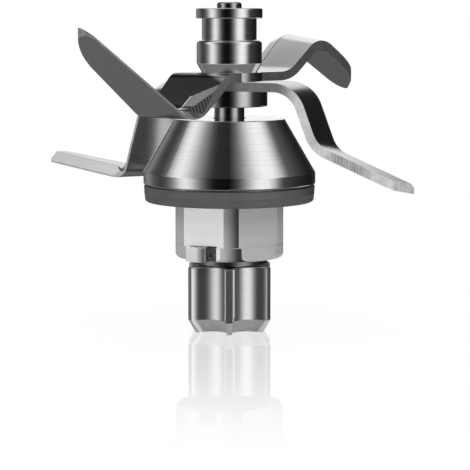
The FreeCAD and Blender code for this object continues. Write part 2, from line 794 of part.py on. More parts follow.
def ball_bearing(name, foot):
    """Inner race, outer race, balls and cage of one bearing."""
    inner = race(f"{name}_inner_race", shaft_radius + fit_gap, inner_race_radius, foot)
    outer = race(f"{name}_outer_race", outer_race_radius, bearing_outer_radius, foot)
    cage_foot = foot + (bearing_width - cage_height) / 2
    cage_blank = ring(f"{name}_cage_blank", pitch_radius - cage_thickness / 2,
                      pitch_radius + cage_thickness / 2, cage_foot, cage_foot + cage_height)
    cage = joined("Part::Cut", f"{name}_cage", cage_blank,
                  cage_pockets(f"{name}_cage_pockets", foot))
    return [inner, outer, balls(f"{name}_balls", foot), cage]


lower_bearing = ball_bearing("lower_bearing", lower_bearing_foot)
upper_bearing = ball_bearing("upper_bearing", upper_bearing_foot)
lower_bearing_top = lower_bearing_foot + bearing_width
inner_sleeve = ring("inner_sleeve", shaft_radius + fit_gap,
                    shaft_radius + fit_gap + sleeve_wall, lower_bearing_top, upper_bearing_foot)
outer_sleeve = ring("outer_sleeve", bearing_outer_radius - sleeve_wall, bearing_outer_radius,
                    lower_bearing_top, upper_bearing_foot)

# Retaining ring: an open spring ring in the housing's groove, under the lower bearing

ring_blank = ring("retaining_ring_blank", bearing_outer_radius - ring_width,
                  ring_groove - fit_gap, ring_foot, lower_bearing_foot)
ring_slot = block("retaining_ring_slot", 2 * bearing_outer_radius, ring_opening, bearing_width,
                  front_angle(180), (0, 0 - ring_opening / 2, housing_foot))
retaining_ring = joined("Part::Cut", "retaining_ring", ring_blank, ring_slot)

# Foot washer: carries the lower inner race on the coupling and covers the bearing from below

foot_washer = turned("foot_washer", [
    (shaft_radius + fit_gap, washer_foot), (washer_boss_radius, washer_foot),
    (washer_boss_radius, disc_foot), (washer_radius, disc_foot),
    (washer_radius, disc_top), (shaft_radius + sleeve_wall, disc_top),
    (shaft_radius + sleeve_wall, lower_bearing_foot), (shaft_radius + fit_gap, lower_bearing_foot)])


# Drive coupling: a six-pointed star with hollow flanks, chamfered at the foot

def star_sketch(body, label, tip_radius, flute_radius, crest_width, height):
    """A star outline: narrow crests joined by hollow flanks, one crest towards the viewer."""
    sketch = body.newObject("Sketcher::SketchObject", label)
    sketch.AttachmentSupport = (origin_plane(body, "XY_Plane"), [""])
    sketch.MapMode = "FlatFace"
    bind(sketch, "AttachmentOffset.Base.z", height)
    step = 360 / coupling_points
    half_crest = math.degrees(math.asin(crest_width / 2 / tip_radius))

    def at(radius, degrees):
        angle = math.radians(degrees)
        return Vector(radius * math.cos(angle), radius * math.sin(angle), 0)

    for point in range(coupling_points):
        middle = front_angle(point * step)
        crest = [at(tip_radius, middle + turn) for turn in (-half_crest, 0, half_crest)]
        flank = [crest[2], at(flute_radius, middle + step / 2),
                 at(tip_radius, middle + step - half_crest)]
        sketch.addGeometry(Part.Arc(*crest), False)
        sketch.addGeometry(Part.Arc(*flank), False)
    return sketch


coupling_body = doc.addObject("PartDesign::Body", "coupling_blank")
foot_star = star_sketch(coupling_body, "foot_star",
                        coupling_tip_radius.value - coupling_chamfer_inset.value,
                        coupling_flute_radius.value - coupling_chamfer_inset.value,
                        coupling_crest_width.value * foot_crest_share, 0)
full_star = star_sketch(coupling_body, "full_star", coupling_tip_radius.value,
                        coupling_flute_radius.value, coupling_crest_width.value,
                        coupling_chamfer_height)
star_pad = coupling_body.newObject("PartDesign::Pad", "star_pad")
star_pad.Profile = full_star
bind(star_pad, "Length", coupling_height - coupling_chamfer_height)
doc.recompute()
star_chamfer = coupling_body.newObject("PartDesign::AdditiveLoft", "star_chamfer")
star_chamfer.Profile = foot_star
star_chamfer.Sections = [full_star]
star_chamfer.Ruled = True
doc.recompute()
top_edges = [f"Edge{n + 1}" for n, edge in enumerate(star_chamfer.Shape.Edges)
             if abs(edge.BoundBox.ZMin - coupling_height.value) < 1e-4]
star_round = coupling_body.newObject("PartDesign::Fillet", "star_round")
star_round.Base = (star_chamfer, top_edges)
bind(star_round, "Radius", coupling_top_round)
coupling_body.Tip = star_round
drive_coupling = joined("Part::Cut", "drive_coupling", coupling_body,
                        double_d("coupling_bore", fit_gap, coupling_floor, coupling_height))

# Check and write every piece

doc.recompute()
nodes = ([shaft, head_knob, spacer_collar, upper_blade, lower_blade, cone_cover, bearing_housing,
          seal_ring, cover_seal, shaft_seal, garter_spring, inner_sleeve, outer_sleeve,
          retaining_ring, foot_washer, drive_coupling] + lower_bearing + upper_bearing)
failed = [thing.Label for thing in doc.Objects
          if "Invalid" in thing.State or "Error" in thing.State]
for piece in nodes:
    if piece.Shape.isNull() or not piece.Shape.isValid() or not piece.Shape.Solids:
        failed.append(piece.Label)
if failed:
    raise RuntimeError("pieces that failed: " + ", ".join(failed))
os.makedirs("parts", exist_ok=True)
for piece in nodes:
    piece.Shape.exportStep(f"parts/{piece.Label}.step")
    print(piece.Label, len(piece.Shape.Solids), round(piece.Shape.Volume, 1))
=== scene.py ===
# %% [markdown]
# # Blade assembly of a food processor
# The real object is a turned steel shaft with two bent blade plates on top. It spins in a bearing
# housing that hangs in the floor of a bowl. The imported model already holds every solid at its
# place, so this lesson dresses it: camera, studio, finishes, and the soft pieces that a solid
# model makes too plain.

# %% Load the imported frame
import math

import bpy
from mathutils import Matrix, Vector


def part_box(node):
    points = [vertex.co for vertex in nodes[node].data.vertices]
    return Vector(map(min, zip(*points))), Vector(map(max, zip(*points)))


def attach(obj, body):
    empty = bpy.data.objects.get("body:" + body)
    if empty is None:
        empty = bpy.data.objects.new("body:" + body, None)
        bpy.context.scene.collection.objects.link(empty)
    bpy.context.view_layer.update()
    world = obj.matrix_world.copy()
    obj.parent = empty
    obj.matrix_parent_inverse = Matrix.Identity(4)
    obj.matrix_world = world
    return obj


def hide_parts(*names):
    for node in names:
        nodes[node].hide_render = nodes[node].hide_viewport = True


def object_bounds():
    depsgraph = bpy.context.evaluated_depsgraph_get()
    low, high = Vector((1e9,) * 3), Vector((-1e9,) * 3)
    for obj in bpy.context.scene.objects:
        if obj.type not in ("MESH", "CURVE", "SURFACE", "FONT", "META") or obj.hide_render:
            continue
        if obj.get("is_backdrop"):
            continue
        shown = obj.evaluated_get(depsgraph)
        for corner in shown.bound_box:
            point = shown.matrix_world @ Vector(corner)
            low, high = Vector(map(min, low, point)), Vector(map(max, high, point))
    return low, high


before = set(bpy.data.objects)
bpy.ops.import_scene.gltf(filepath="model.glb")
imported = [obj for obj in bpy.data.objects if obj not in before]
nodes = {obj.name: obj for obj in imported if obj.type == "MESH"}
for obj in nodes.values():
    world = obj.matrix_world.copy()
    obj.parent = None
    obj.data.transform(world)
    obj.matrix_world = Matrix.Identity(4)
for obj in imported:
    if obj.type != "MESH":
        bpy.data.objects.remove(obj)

cad_low, cad_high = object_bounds()
MM = 0.001
bpy.ops.object.select_all(action="DESELECT")
print("nodes:", len(nodes), "height in mm:", round((cad_high.z - cad_low.z) / MM, 1))

# %% [markdown]
# ## Camera
# The photograph is a product shot from a little above. A long lens stands 600 mm away and looks
# down by six and a half degrees. Its focal length in pixels comes from how the rings of the cover
# and the coupling open: that number and the picture's side give the lens for Blender's sensor.

# %% Place the camera
photo_side = 470
focal_pixels = 2122.8
sensor_width = 36.0
camera_place = Vector((1.6, -601.0, 96.8)) * MM
tilt_down = 6.61

bpy.ops.object.camera_add(location=camera_place,
                          rotation=(math.radians(90 - tilt_down), 0, 0))
camera = bpy.context.object
camera.name = "photo_camera"
camera.data.sensor_width = sensor_width
camera.data.lens = focal_pixels / photo_side * sensor_width
camera.data.clip_start = 10 * MM
bpy.context.scene.camera = camera
print("lens in mm:", round(camera.data.lens, 1))

# %% [markdown]
# ## Writing finishes as sums
# A material is a net of nodes, which is slow to write link by link. The class below wraps one
# socket, so that `height * 0.5 + grain` adds the maths nodes by itself. Every other node comes
# from the one method `node` of the net it belongs to.

# %% A socket that can be added and multiplied
class Wire:
    """One value on its way through a net of nodes."""

    def __init__(self, net, socket):
        self.net = net
        self.socket = socket

    def maths(self, operation, first, second=0.0):
        return self.net.node("ShaderNodeMath", {"operation": operation}, {0: first, 1: second})

    def __add__(self, other):
        return self.maths("ADD", self, other)

    def __sub__(self, other):
        return self.maths("SUBTRACT", self, other)

    def __rsub__(self, other):
        return self.maths("SUBTRACT", other, self)

    def __mul__(self, other):
        return self.maths("MULTIPLY", self, other)

    def __truediv__(self, other):
        return self.maths("DIVIDE", self, other)

    def __pow__(self, other):
        return self.maths("POWER", self, other)

    def __gt__(self, other):
        return self.maths("GREATER_THAN", self, other)

    def __lt__(self, other):
        return self.maths("LESS_THAN", self, other)

    def size(self):
        return self.maths("ABSOLUTE", self)

    def highest(self, other):
        return self.maths("MAXIMUM", self, other)

    def rise(self, start, end, low=0.0, high=1.0):
        """Goes smoothly from low to high while the value goes from start to end."""
        return self.net.node("ShaderNodeMapRange", {"interpolation_type": "SMOOTHSTEP"},
                             {"Value": self, "From Min": start, "From Max": end,
                              "To Min": low, "To Max": high})

    def between(self, start, full, fades, end):
        """Goes from 0 at start to 1 at full, and from 1 at fades back to 0 at end, all in mm."""
        return self.rise(start * MM, full * MM) * self.rise(end * MM, fades * MM)

    __radd__ = __add__
    __rmul__ = __mul__


# %% A net of nodes, and a finish: one material with its shader
class Net:
    """A tree of shader nodes."""

    def __init__(self, tree):
        self.tree = tree

    def node(self, kind, settings=None, sockets=None, output=0):
        """Adds a node: its settings first, then the values or links of its sockets. The setting
        stops holds the places of a colour ramp, each with its grey."""
        made = self.tree.nodes.new(kind)
        for key, value in (settings or {}).items():
            if key == "stops":
                ends = made.color_ramp.elements
                for place, level in value[1:-1]:
                    ends.new(place).color = grey(level)
                for end, (place, level) in ((ends[0], value[0]), (ends[-1], value[-1])):
                    end.position = place
                    end.color = grey(level)
            else:
                setattr(made, key, value)
        for key, value in (sockets or {}).items():
            if isinstance(value, Wire):
                self.tree.links.new(value.socket, made.inputs[key])
            else:
                made.inputs[key].default_value = value
        return Wire(self, made.outputs[output])

    def place(self):
        """X, Y and Z of the point on the piece, in metres."""
        self.spot = self.node("ShaderNodeTexCoord", output="Object")
        return [self.node("ShaderNodeSeparateXYZ", sockets={0: self.spot}, output=n)
                for n in range(3)]


class Finish(Net):
    """A material whose shader gets constants at once and patterns later."""

    def __init__(self, name, **constants):
        self.material = bpy.data.materials.new(name)
        self.material.use_nodes = True
        super().__init__(self.material.node_tree)
        self.shader = self.tree.nodes["Principled BSDF"]
        for key, value in constants.items():
            self.shader.inputs[key.replace("_", " ").title()].default_value = value

    def feed(self, key, wire):
        """Links a pattern to a socket of the shader."""
        self.tree.links.new(wire.socket, self.shader.inputs[key])

    def surface(self, wire):
        """Puts another shader in the place of the first one."""
        self.tree.links.new(wire.socket, self.tree.nodes["Material Output"].inputs["Surface"])

    def grain(self, along, per_mm, detail=2.0):
        """Irregular lines: noise that changes along one value only."""
        return self.node("ShaderNodeTexNoise", {"noise_dimensions": "1D"},
                         {"W": along * (per_mm / MM), "Scale": 1.0, "Detail": detail})

    def cloud(self, per_mm, detail=3.0):
        """Soft patches of noise through the whole piece."""
        return self.node("ShaderNodeTexNoise", None,
                         {"Vector": self.spot, "Scale": per_mm / MM, "Detail": detail})

    def upward(self):
        """How much the surface looks up, from -1 to 1."""
        facing = self.node("ShaderNodeNewGeometry", output="Normal")
        return self.node("ShaderNodeSeparateXYZ", sockets={0: facing}, output=2)

    def blend(self, factor, first, second):
        """A colour between two colours."""
        return self.node("ShaderNodeMix", {"data_type": "RGBA"},
                         {"Factor": factor, "A": first, "B": second}, output="Result")

    def relief(self, height, depth_mm):
        """Turns a height pattern into a bump of this depth."""
        self.feed("Normal", self.node("ShaderNodeBump", None,
                                      {"Height": height, "Distance": depth_mm * MM}))


def grey(level, warmth=0.0):
    """A grey of this level, a little warmer or colder."""
    return (level * (1 + warmth), level, level * (1 - warmth), 1.0)


# %% [markdown]
# ## Studio
# Polished steel has no colour of its own: it shows the room. In the photograph each turned piece
# carries the same stripes, a dark one in the middle, a soft bright one on each side, and dark
# sides. So the room is white, and a dome stands in it, painted with two tall soft boxes and
# black between them. Only mirror rays meet the dome: it lights nothing. Behind the object the
# dome is open, narrow low down and wider higher up, so that the floor's mirror shows the white of
# the room.

# %% White room
# The room looks fully white and lights the pieces at this lower level.
lamp_level = 0.45

world = bpy.data.worlds.new("white_room")
bpy.context.scene.world = world
world.use_nodes = True
room = Net(world.node_tree)
rays = [room.node("ShaderNodeLightPath", output=name)
        for name in ("Is Camera Ray", "Is Glossy Ray", "Is Transmission Ray")]
seen = rays[0].highest(rays[1]).highest(rays[2])
strength = seen * (1.0 - lamp_level) + lamp_level
background = room.tree.nodes["Background"]
background.inputs["Color"].default_value = grey(1.0)
room.tree.links.new(strength.socket, background.inputs["Strength"])

# %% The painted dome
# All angles are in degrees: around from the viewer to the sides of the opening, and up from the
# horizon to its foot, to where it widens and to its top.
dome_radius = 1.4
dome_step = 2
open_low, open_high = 170, 162
open_from, open_widens, open_to = -2, 10, 66

bpy.ops.mesh.primitive_uv_sphere_add(segments=360 // dome_step, ring_count=180 // dome_step,
                                     radius=dome_radius)
dome = bpy.context.object
dome.name = "painted_dome"
bpy.ops.object.mode_set(mode="EDIT")
bpy.ops.mesh.select_mode(type="FACE")
bpy.ops.mesh.select_all(action="DESELECT")
bpy.ops.object.mode_set(mode="OBJECT")
for face in dome.data.polygons:
    x, y, z = face.center
    height_angle = math.degrees(math.asin(z / face.center.length))
    limit = open_high if height_angle > open_widens else open_low
    behind = abs(math.degrees(math.atan2(x, -y))) > limit
    face.select = behind and open_from < height_angle < open_to
bpy.ops.object.mode_set(mode="EDIT")
bpy.ops.mesh.delete(type="FACE")
bpy.ops.object.mode_set(mode="OBJECT")

# %% Paint the soft boxes on it
# Each stop is an angle to the right of the viewer and the light seen there. Higher up the stripes
# stand further out, lower down the dark ones are darker, and the back left is dimmed. The foot
# of the dome has the light of the floor, and its top that of the ceiling. The low box is given by
# its angle around, its angle up, and half its width and height.
stripes = [(-180, 0.06), (-165, 0.2), (-138, 0.36), (-118, 0.18), (-104, 0.12), (-93, 0.16),
           (-82, 0.34), (-76, 0.52), (-69, 0.8), (-60, 0.94), (-52, 0.78), (-46, 0.58),
           (-40, 0.36), (-34, 0.22), (-26, 0.08), (-18, 0.03), (0, 0.02), (8, 0.1),
           (14, 0.2), (23, 0.48), (33, 0.84), (42, 1.0), (54, 0.94), (63, 0.6), (70, 0.3),
           (77, 0.13), (95, 0.09), (120, 0.05), (140, 0.04), (163, 0.1), (180, 0.2)]
lift_from, lift_to = 0.0, 55.0
left_turn, right_turn = 0.34, 0.33
low_contrast = 0.4
back_left, back_left_dim = -105.0, 0.75
floor_from, floor_to, floor_light = -18.0, -40.0, 0.19
ceiling_from, ceiling_to, ceiling_light = 66.0, 84.0, 0.25
low_box = (140.0, -24.0, 20.0, 13.0)
low_box_core, low_box_light = 0.6, 0.6

paint = Finish("dome_paint")
x, y, z = paint.place()
angle = x.maths("ARCTAN2", x, y * -1.0) * math.degrees(1)
height_angle = z.maths("ARCSINE", z / dome_radius) * math.degrees(1)
lifted = height_angle.rise(lift_from, lift_to)
turned = angle * (1.0 - lifted * ((angle > 0.0) * (right_turn - left_turn) + left_turn))
stops = [((across + 180) / 360, level) for across, level in stripes]
light = paint.node("ShaderNodeValToRGB", {"stops": stops}, {0: turned / 360 + 0.5})
light = light ** ((1.0 - lifted) * low_contrast + 1.0)
light = light * (1.0 - (angle < back_left) * lifted * back_left_dim)
low = height_angle.rise(floor_from, floor_to)
high = height_angle.rise(ceiling_from, ceiling_to)
light = light * (1.0 - low) * (1.0 - high) + low * floor_light + high * ceiling_light
box_across, box_up, half_width, half_height = low_box
beside = ((angle - box_across).size() / half_width).highest(
    (height_angle - box_up).size() / half_height)
light = light.highest(beside.rise(1.0, low_box_core) * low_box_light)
paint.surface(paint.node("ShaderNodeEmission", None, {"Color": light, "Strength": 1.0}))
dome.data.materials.append(paint.material)
dome.visible_camera = False
dome.visible_diffuse = False
dome.visible_shadow = False
dome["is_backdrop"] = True
print("dome faces:", len(dome.data.polygons))

# %% Soft lamps
lamp_distance = 1.1
lamp_size = 0.5
lamp_power = 3.0
top_lamp_share = 0.8


def soft_lamp(name, across, up, power):
    """A square lamp that looks at the middle of the object, from angles in degrees."""
    aim = (cad_low + cad_high) / 2
    turn, lift = math.radians(across), math.radians(up)
    away = Vector((math.sin(turn) * math.cos(lift), -math.cos(turn) * math.cos(lift),
                   math.sin(lift)))
    bpy.ops.object.light_add(type="AREA", location=aim + away * lamp_distance)
    lamp = bpy.context.object
    lamp.name = name
    lamp.rotation_euler = away.to_track_quat("Z", "Y").to_euler()
    lamp.data.size = lamp_size
    lamp.data.energy = power
    lamp.visible_glossy = False


soft_lamp("left_lamp", -55, 35, lamp_power)
soft_lamp("right_lamp", 42, 35, lamp_power)
soft_lamp("top_lamp", 0, 85, lamp_power * top_lamp_share)

# %% [markdown]
# ## Floor
# The object stands on a white sheet with a faint gloss, so its foot is mirrored for a short way.
# The floor shows the camera mostly its own white, a little of a mirror that fades away from the
# object, and close to the object a little of real white paint, which keeps the soft shadow.

# %% Make the floor
floor_size = 6.0
mirror_near, mirror_far = 40 * MM, 172 * MM
mirror_share, mirror_roughness = 0.30, 0.02
shadow_near, shadow_far = 15 * MM, 80 * MM
shadow_share = 0.05

bpy.ops.mesh.primitive_plane_add(size=floor_size, location=(0, 0, 0))
floor = bpy.context.object
floor.name = "studio_floor"
white = Finish("white_floor", base_color=grey(0.95), roughness=0.6)
x, y = white.place()[:2]
reach = (x * x + y * y) ** 0.5
fade = reach.rise(mirror_far, mirror_near, 0.0, mirror_share)
close = reach.rise(shadow_far, shadow_near, 0.0, shadow_share)
glow = white.node("ShaderNodeEmission", None, {"Color": grey(1.0), "Strength": 1.0})
mirror = white.node("ShaderNodeBsdfGlossy", None,
                    {"Color": grey(1.0), "Roughness": mirror_roughness})
sheet = Wire(white, white.shader.outputs[0])
lit = white.node("ShaderNodeMixShader", None, {0: close, 1: glow, 2: sheet})
shown = white.node("ShaderNodeMixShader", None, {0: fade, 1: lit, 2: mirror})
camera_ray = white.node("ShaderNodeLightPath", output="Is Camera Ray")
white.surface(white.node("ShaderNodeMixShader", None, {0: camera_ray, 1: sheet, 2: shown}))
floor.data.materials.append(white.material)
floor.visible_glossy = False
floor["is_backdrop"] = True

# %% [markdown]
# ## Turned steel
# The head, the collar, the cover and the coupling were cut on a lathe. The tool leaves fine rings
# that follow the axis, so the grain depends only on the height plus the distance from the axis:
# that gives rings on a cylinder, on a cone and on a flat face alike. A thin pale line is painted
# at the edge of the head's bulb as a highlight. The coupling is matte on the chamfer at its foot,
# and its top is painted dark as shade; the cover's top is painted a little darker as shade too.

# %% Turned steel
groove_share, crest_share = 0.84, 1.1
flat_top = 0.9
# The highlight line painted at the bulb's edge: its pale grey, and how much less metallic it is.
highlight_line_level, highlight_line_matte = 0.7, 0.55
chamfered_metallic, chamfer_matte = 0.9, 0.4
bulb_height, bulb_line_half = 2.5, 0.1


def turned_steel(name, level, roughness, rings_per_mm=5.0, depth_mm=0.003, highlight_lines=(),
                 shaded_top_share=1.0, chamfer_mm=0.0, eased=0.0):
    """Bright steel with lathe rings around Z. It takes thin lines as (height, half width) in mm,
    painted pale and less metallic as highlights; the share of the level kept on flat tops, which
    paints them darker as shade; how high up from the floor in mm the steel is matte; and how
    much flutes shine as if they were shallower."""
    steel = Finish(name, metallic=1.0, roughness=roughness)
    x, y, z = steel.place()
    reach = (x * x + y * y) ** 0.5
    along = z + reach
    rings = steel.grain(along, rings_per_mm)
    bands = steel.grain(along, rings_per_mm / 12)
    smudge = steel.cloud(0.06)
    colour = steel.blend(rings * 0.6 + bands * 0.4, grey(level * groove_share),
                         grey(level * crest_share))
    # Flat tops painted darker as shade.
    if shaded_top_share < 1.0:
        colour = steel.blend(steel.upward() > flat_top, colour, grey(level * shaded_top_share))
    # Thin lines painted pale and less metallic as highlights.
    if highlight_lines:
        painted_light_mask = 0.0
        for height, half_width in highlight_lines:
            painted_light_mask = painted_light_mask + ((z - height * MM).size() < half_width * MM)
        colour = steel.blend(painted_light_mask, colour, grey(highlight_line_level))
        steel.feed("Metallic", 1.0 - painted_light_mask * highlight_line_matte)
    if chamfer_mm:
        steel.feed("Metallic", chamfered_metallic - (z < chamfer_mm * MM) * chamfer_matte)
    steel.feed("Base Color", colour)
    steel.feed("Roughness", roughness + (bands - 0.5) * 0.08 + (smudge - 0.5) * 0.1)
    steel.relief(rings - reach * (eased / (depth_mm * MM)), depth_mm)
    return steel.material


def dress(names, material):
    """Gives a finish to nodes of the frame."""
    for name in names:
        slots = nodes[name].data.materials
        slots.clear()
        slots.append(material)


# A highlight line is painted at the edge of the bulb.
bulb_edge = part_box("head_knob")[0].z / MM + bulb_height
dress(["head_knob"], turned_steel("head_steel", level=0.9, roughness=0.11,
                                  highlight_lines=[(bulb_edge, bulb_line_half)]))
# The cover's flat top is painted a little darker as shade.
dress(["cone_cover"], turned_steel("cover_steel", level=0.9, roughness=0.1, shaded_top_share=0.8))
dress(["spacer_collar"], turned_steel("collar_steel", level=0.6, roughness=0.12))
dress(["shaft", "inner_sleeve", "outer_sleeve"],
      turned_steel("shaft_steel", level=0.5, roughness=0.1))
# The washer is painted dark as shade, for the shadow under the housing.
dress(["foot_washer"], turned_steel("washer_shaded_steel", level=0.3, roughness=0.3))
# The coupling's flat top is painted dark as shade.
dress(["drive_coupling"], turned_steel("coupling_steel", level=0.8, roughness=0.1,
                                       rings_per_mm=2.0, depth_mm=0.001, shaded_top_share=0.25,
                                       chamfer_mm=3.6, eased=0.27))

# %% [markdown]
# ## Milled housing
# The housing's flats are milled bright, with level lines, and a little warm, which is a painted
# reflection of the surroundings. The thin edge of the step in them gets the same bright finish as
# a painted highlight. The round lands between them were left from the casting: they are matte, and
# the front one is painted dark right of its middle as shade. The lug is painted pale where lit and
# darker towards its right edge as shade, with a painted shadow line around it, and the notch
# beside it is painted dark inside as shade, with a rough tooth.

# %% Milled steel
# Turns are in degrees to the right of the viewer; distances, widths and heights are in mm. The
# painted shade on the front land starts, is full, fades and ends at these four places along X.
flat_turns = (-31.0, 35.6)
flat_distance, lower_flat_distance = 13.9, 14.25
flat_step_height, step_highlight_half = 4.0, 0.08
seat_depth = 0.06
notch_turn, notch_half_width, notch_height = -20.0, 1.52, 4.4
notch_tooth = 20.0
lug_turn, lug_half_width, lug_height = -36.0, 2.7, 4.0
lug_start, lug_shadow_width = 15.7, 0.3
lug_shade_start, lug_shade_full = 0.6, 2.4
front_shade = (-2.2, 2.8, 6.0, 9.0)
milled_metallic, land_matte, land_roughness = 0.6, 0.2, 0.2
# The lands' pale grey, and the painted shade on the front land.
land_pale_grey, land_shade_grey = 0.75, 0.05
# The lug's painted lit and shaded greys, and its painted shadow line.
lug_lit_grey, lug_shade_grey, lug_shadow_grey = 0.95, 0.4, 0.25
# The notch's painted shade, and its paler dots.
notch_shade_grey, notch_pale_grey = 0.02, 0.3
housing_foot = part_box("bearing_housing")[0].z / MM


def milled_steel(name, level, roughness, lines_per_mm=3.0):
    """Satin steel with level tool lines, matte on the round lands."""
    steel = Finish(name)
    x, y, z = steel.place()
    lines = steel.grain(z, lines_per_mm)
    wide = steel.grain(z, lines_per_mm / 6)
    smudge = steel.cloud(0.08)
    tooth = steel.cloud(3.0, 2.0)
    lower = z < (housing_foot + flat_step_height) * MM
    limit = lower * (lower_flat_distance - flat_distance) + (flat_distance - seat_depth)
    milled = 0.0
    for turn in flat_turns:
        out = x * math.sin(math.radians(turn)) - y * math.cos(math.radians(turn))
        milled = (out.size() > limit * MM).highest(milled)
    # The thin edge of the step gets the bright milled finish all around: a painted highlight.
    edge = (z - (housing_foot + flat_step_height) * MM).size() < step_highlight_half * MM
    land = (1.0 - milled) * (1.0 - edge)
    turn = math.radians(notch_turn)
    beside = (x * math.cos(turn) + y * math.sin(turn)).size() < notch_half_width * MM
    notch = beside * (z < (housing_foot + notch_height) * MM)
    # The lug: painted pale where lit and darker to its right as shade, with a painted shadow line
    # around it.
    lug = ((x * x + y * y) ** 0.5) > lug_start * MM
    turn = math.radians(lug_turn)
    beside = x * math.cos(turn) + y * math.sin(turn)
    past = (beside.size() - lug_half_width * MM).highest(z - (housing_foot + lug_height) * MM)
    lug_shadow_line = (past > 0.0) * (past < lug_shadow_width * MM)
    block = steel.blend(beside.rise(lug_shade_start * MM, lug_shade_full * MM), grey(lug_lit_grey),
                        grey(lug_shade_grey))
    # The flats' slight warmth is a painted reflection of the surroundings.
    bright = steel.blend(lines * 0.5 + wide * 0.5, grey(level * 0.92, 0.015),
                         grey(level * 1.06, 0.02))
    # The front land's painted shade.
    dull = steel.blend(x.between(*front_shade), grey(land_pale_grey), grey(land_shade_grey))
    # Painted shade inside the notch, broken by rough pale dots.
    rough = steel.blend(tooth.rise(0.4, 0.6), grey(notch_shade_grey), grey(notch_pale_grey))
    colour = steel.blend(land, bright, dull)
    colour = steel.blend(lug_shadow_line, colour, grey(lug_shadow_grey))
    colour = steel.blend(lug, colour, block)
    colour = steel.blend(notch, colour, rough)
    steel.feed("Base Color", colour)
    steel.feed("Metallic", milled_metallic - land * land_matte)
    steel.feed("Roughness", roughness + (smudge - 0.5) * 0.12 + land * land_roughness)
    steel.relief(lines * (1.0 - land) + tooth * land + tooth * notch * notch_tooth, 0.003)
    return steel.material


dress(["bearing_housing"], milled_steel("milled_steel", level=0.95, roughness=0.24))

# %% [markdown]
# ## Blade steel
# The wings are dark satin sheet, brushed along their length. Each has a ground bevel on its upper
# face along the leading edge, with a thin line where it begins, painted pale as a highlight on
# some wings and dark as shade on others, and stamped sides that are matte, with paleness painted
# on them as light. The front left wing keeps strong slanting wheel marks on its bevel, the front
# right one faint ones. The first panel of the front left wing is painted dark as shade, and the
# sheet of the back right wing is painted pale as light and made less metallic, the back left one
# a little. All of that follows
# the wing, so the pattern first turns X and Y into a length and a width of the wing, and compares
# the width with the leading edge. Mirror rays miss the blades, because the photograph shows no
# mirror image of them in the cover.

# %% Satin blade steel with ground edges
# The first panel painted as shade, the stretch where the sides' painted light is dimmed in
# patches, and the change of the sides are in mm along the wing.
bevel_width = 5.0 * MM
bevel_lean = 1.2
hub_radius = 9.5 * MM
up_limit, side_limit = 0.04, 0.03
first_panel = (10.5, 12.0, 22.0, 25.0)
side_dimmed_stretch = (32.0, 35.0, 40.0, 46.0)
near_side, far_side = 17.0, 24.0
stroke_gap, stroke_waver = 0.28, 9.0
strokes_along, strokes_across, strokes_up = 0.85, 0.55, 0.3
brush_depth = 0.15
side_matte, satin_matte, line_matte = 0.65, 0.6, 0.5
# Painted shade on the front left wing's first panel, and the painted light of a pale sheet.
panel_shade_grey, sheet_light_grey = 0.06, 0.8
wheel_dark_grey, wheel_pale_grey = 0.26, 0.6
# The bevel line: dark as painted shade, pale as a painted highlight.
bevel_line_shade_grey, bevel_line_highlight_grey = 0.05, 0.9


class Plan:
    """One wing seen from above: its heading in degrees, its leading edge as (distance from the
    axis in mm, slope), the distance in mm at which its bevel starts, and how its surfaces
    differ: how pale and less metallic its sheet is painted as light, how dark its first panel
    is painted as shade, how strong its wheel marks are, the line along its bevel as (paleness,
    half width in mm), painted pale as a highlight and dark as shade, how pale its stamped sides
    are painted as light near the hub and further out, and how much that painted light is dimmed
    in patches along a stretch."""

    def __init__(self, heading, lead, start, satin, painted_panel_shade, hatch, line, side, side_dimmed=0.0):
        self.heading = math.radians(heading)
        self.lead = lead
        self.start = start
        self.satin = satin
        self.painted_panel_shade = painted_panel_shade
        self.hatch = hatch
        self.line = line
        self.side = side
        self.side_dimmed = side_dimmed


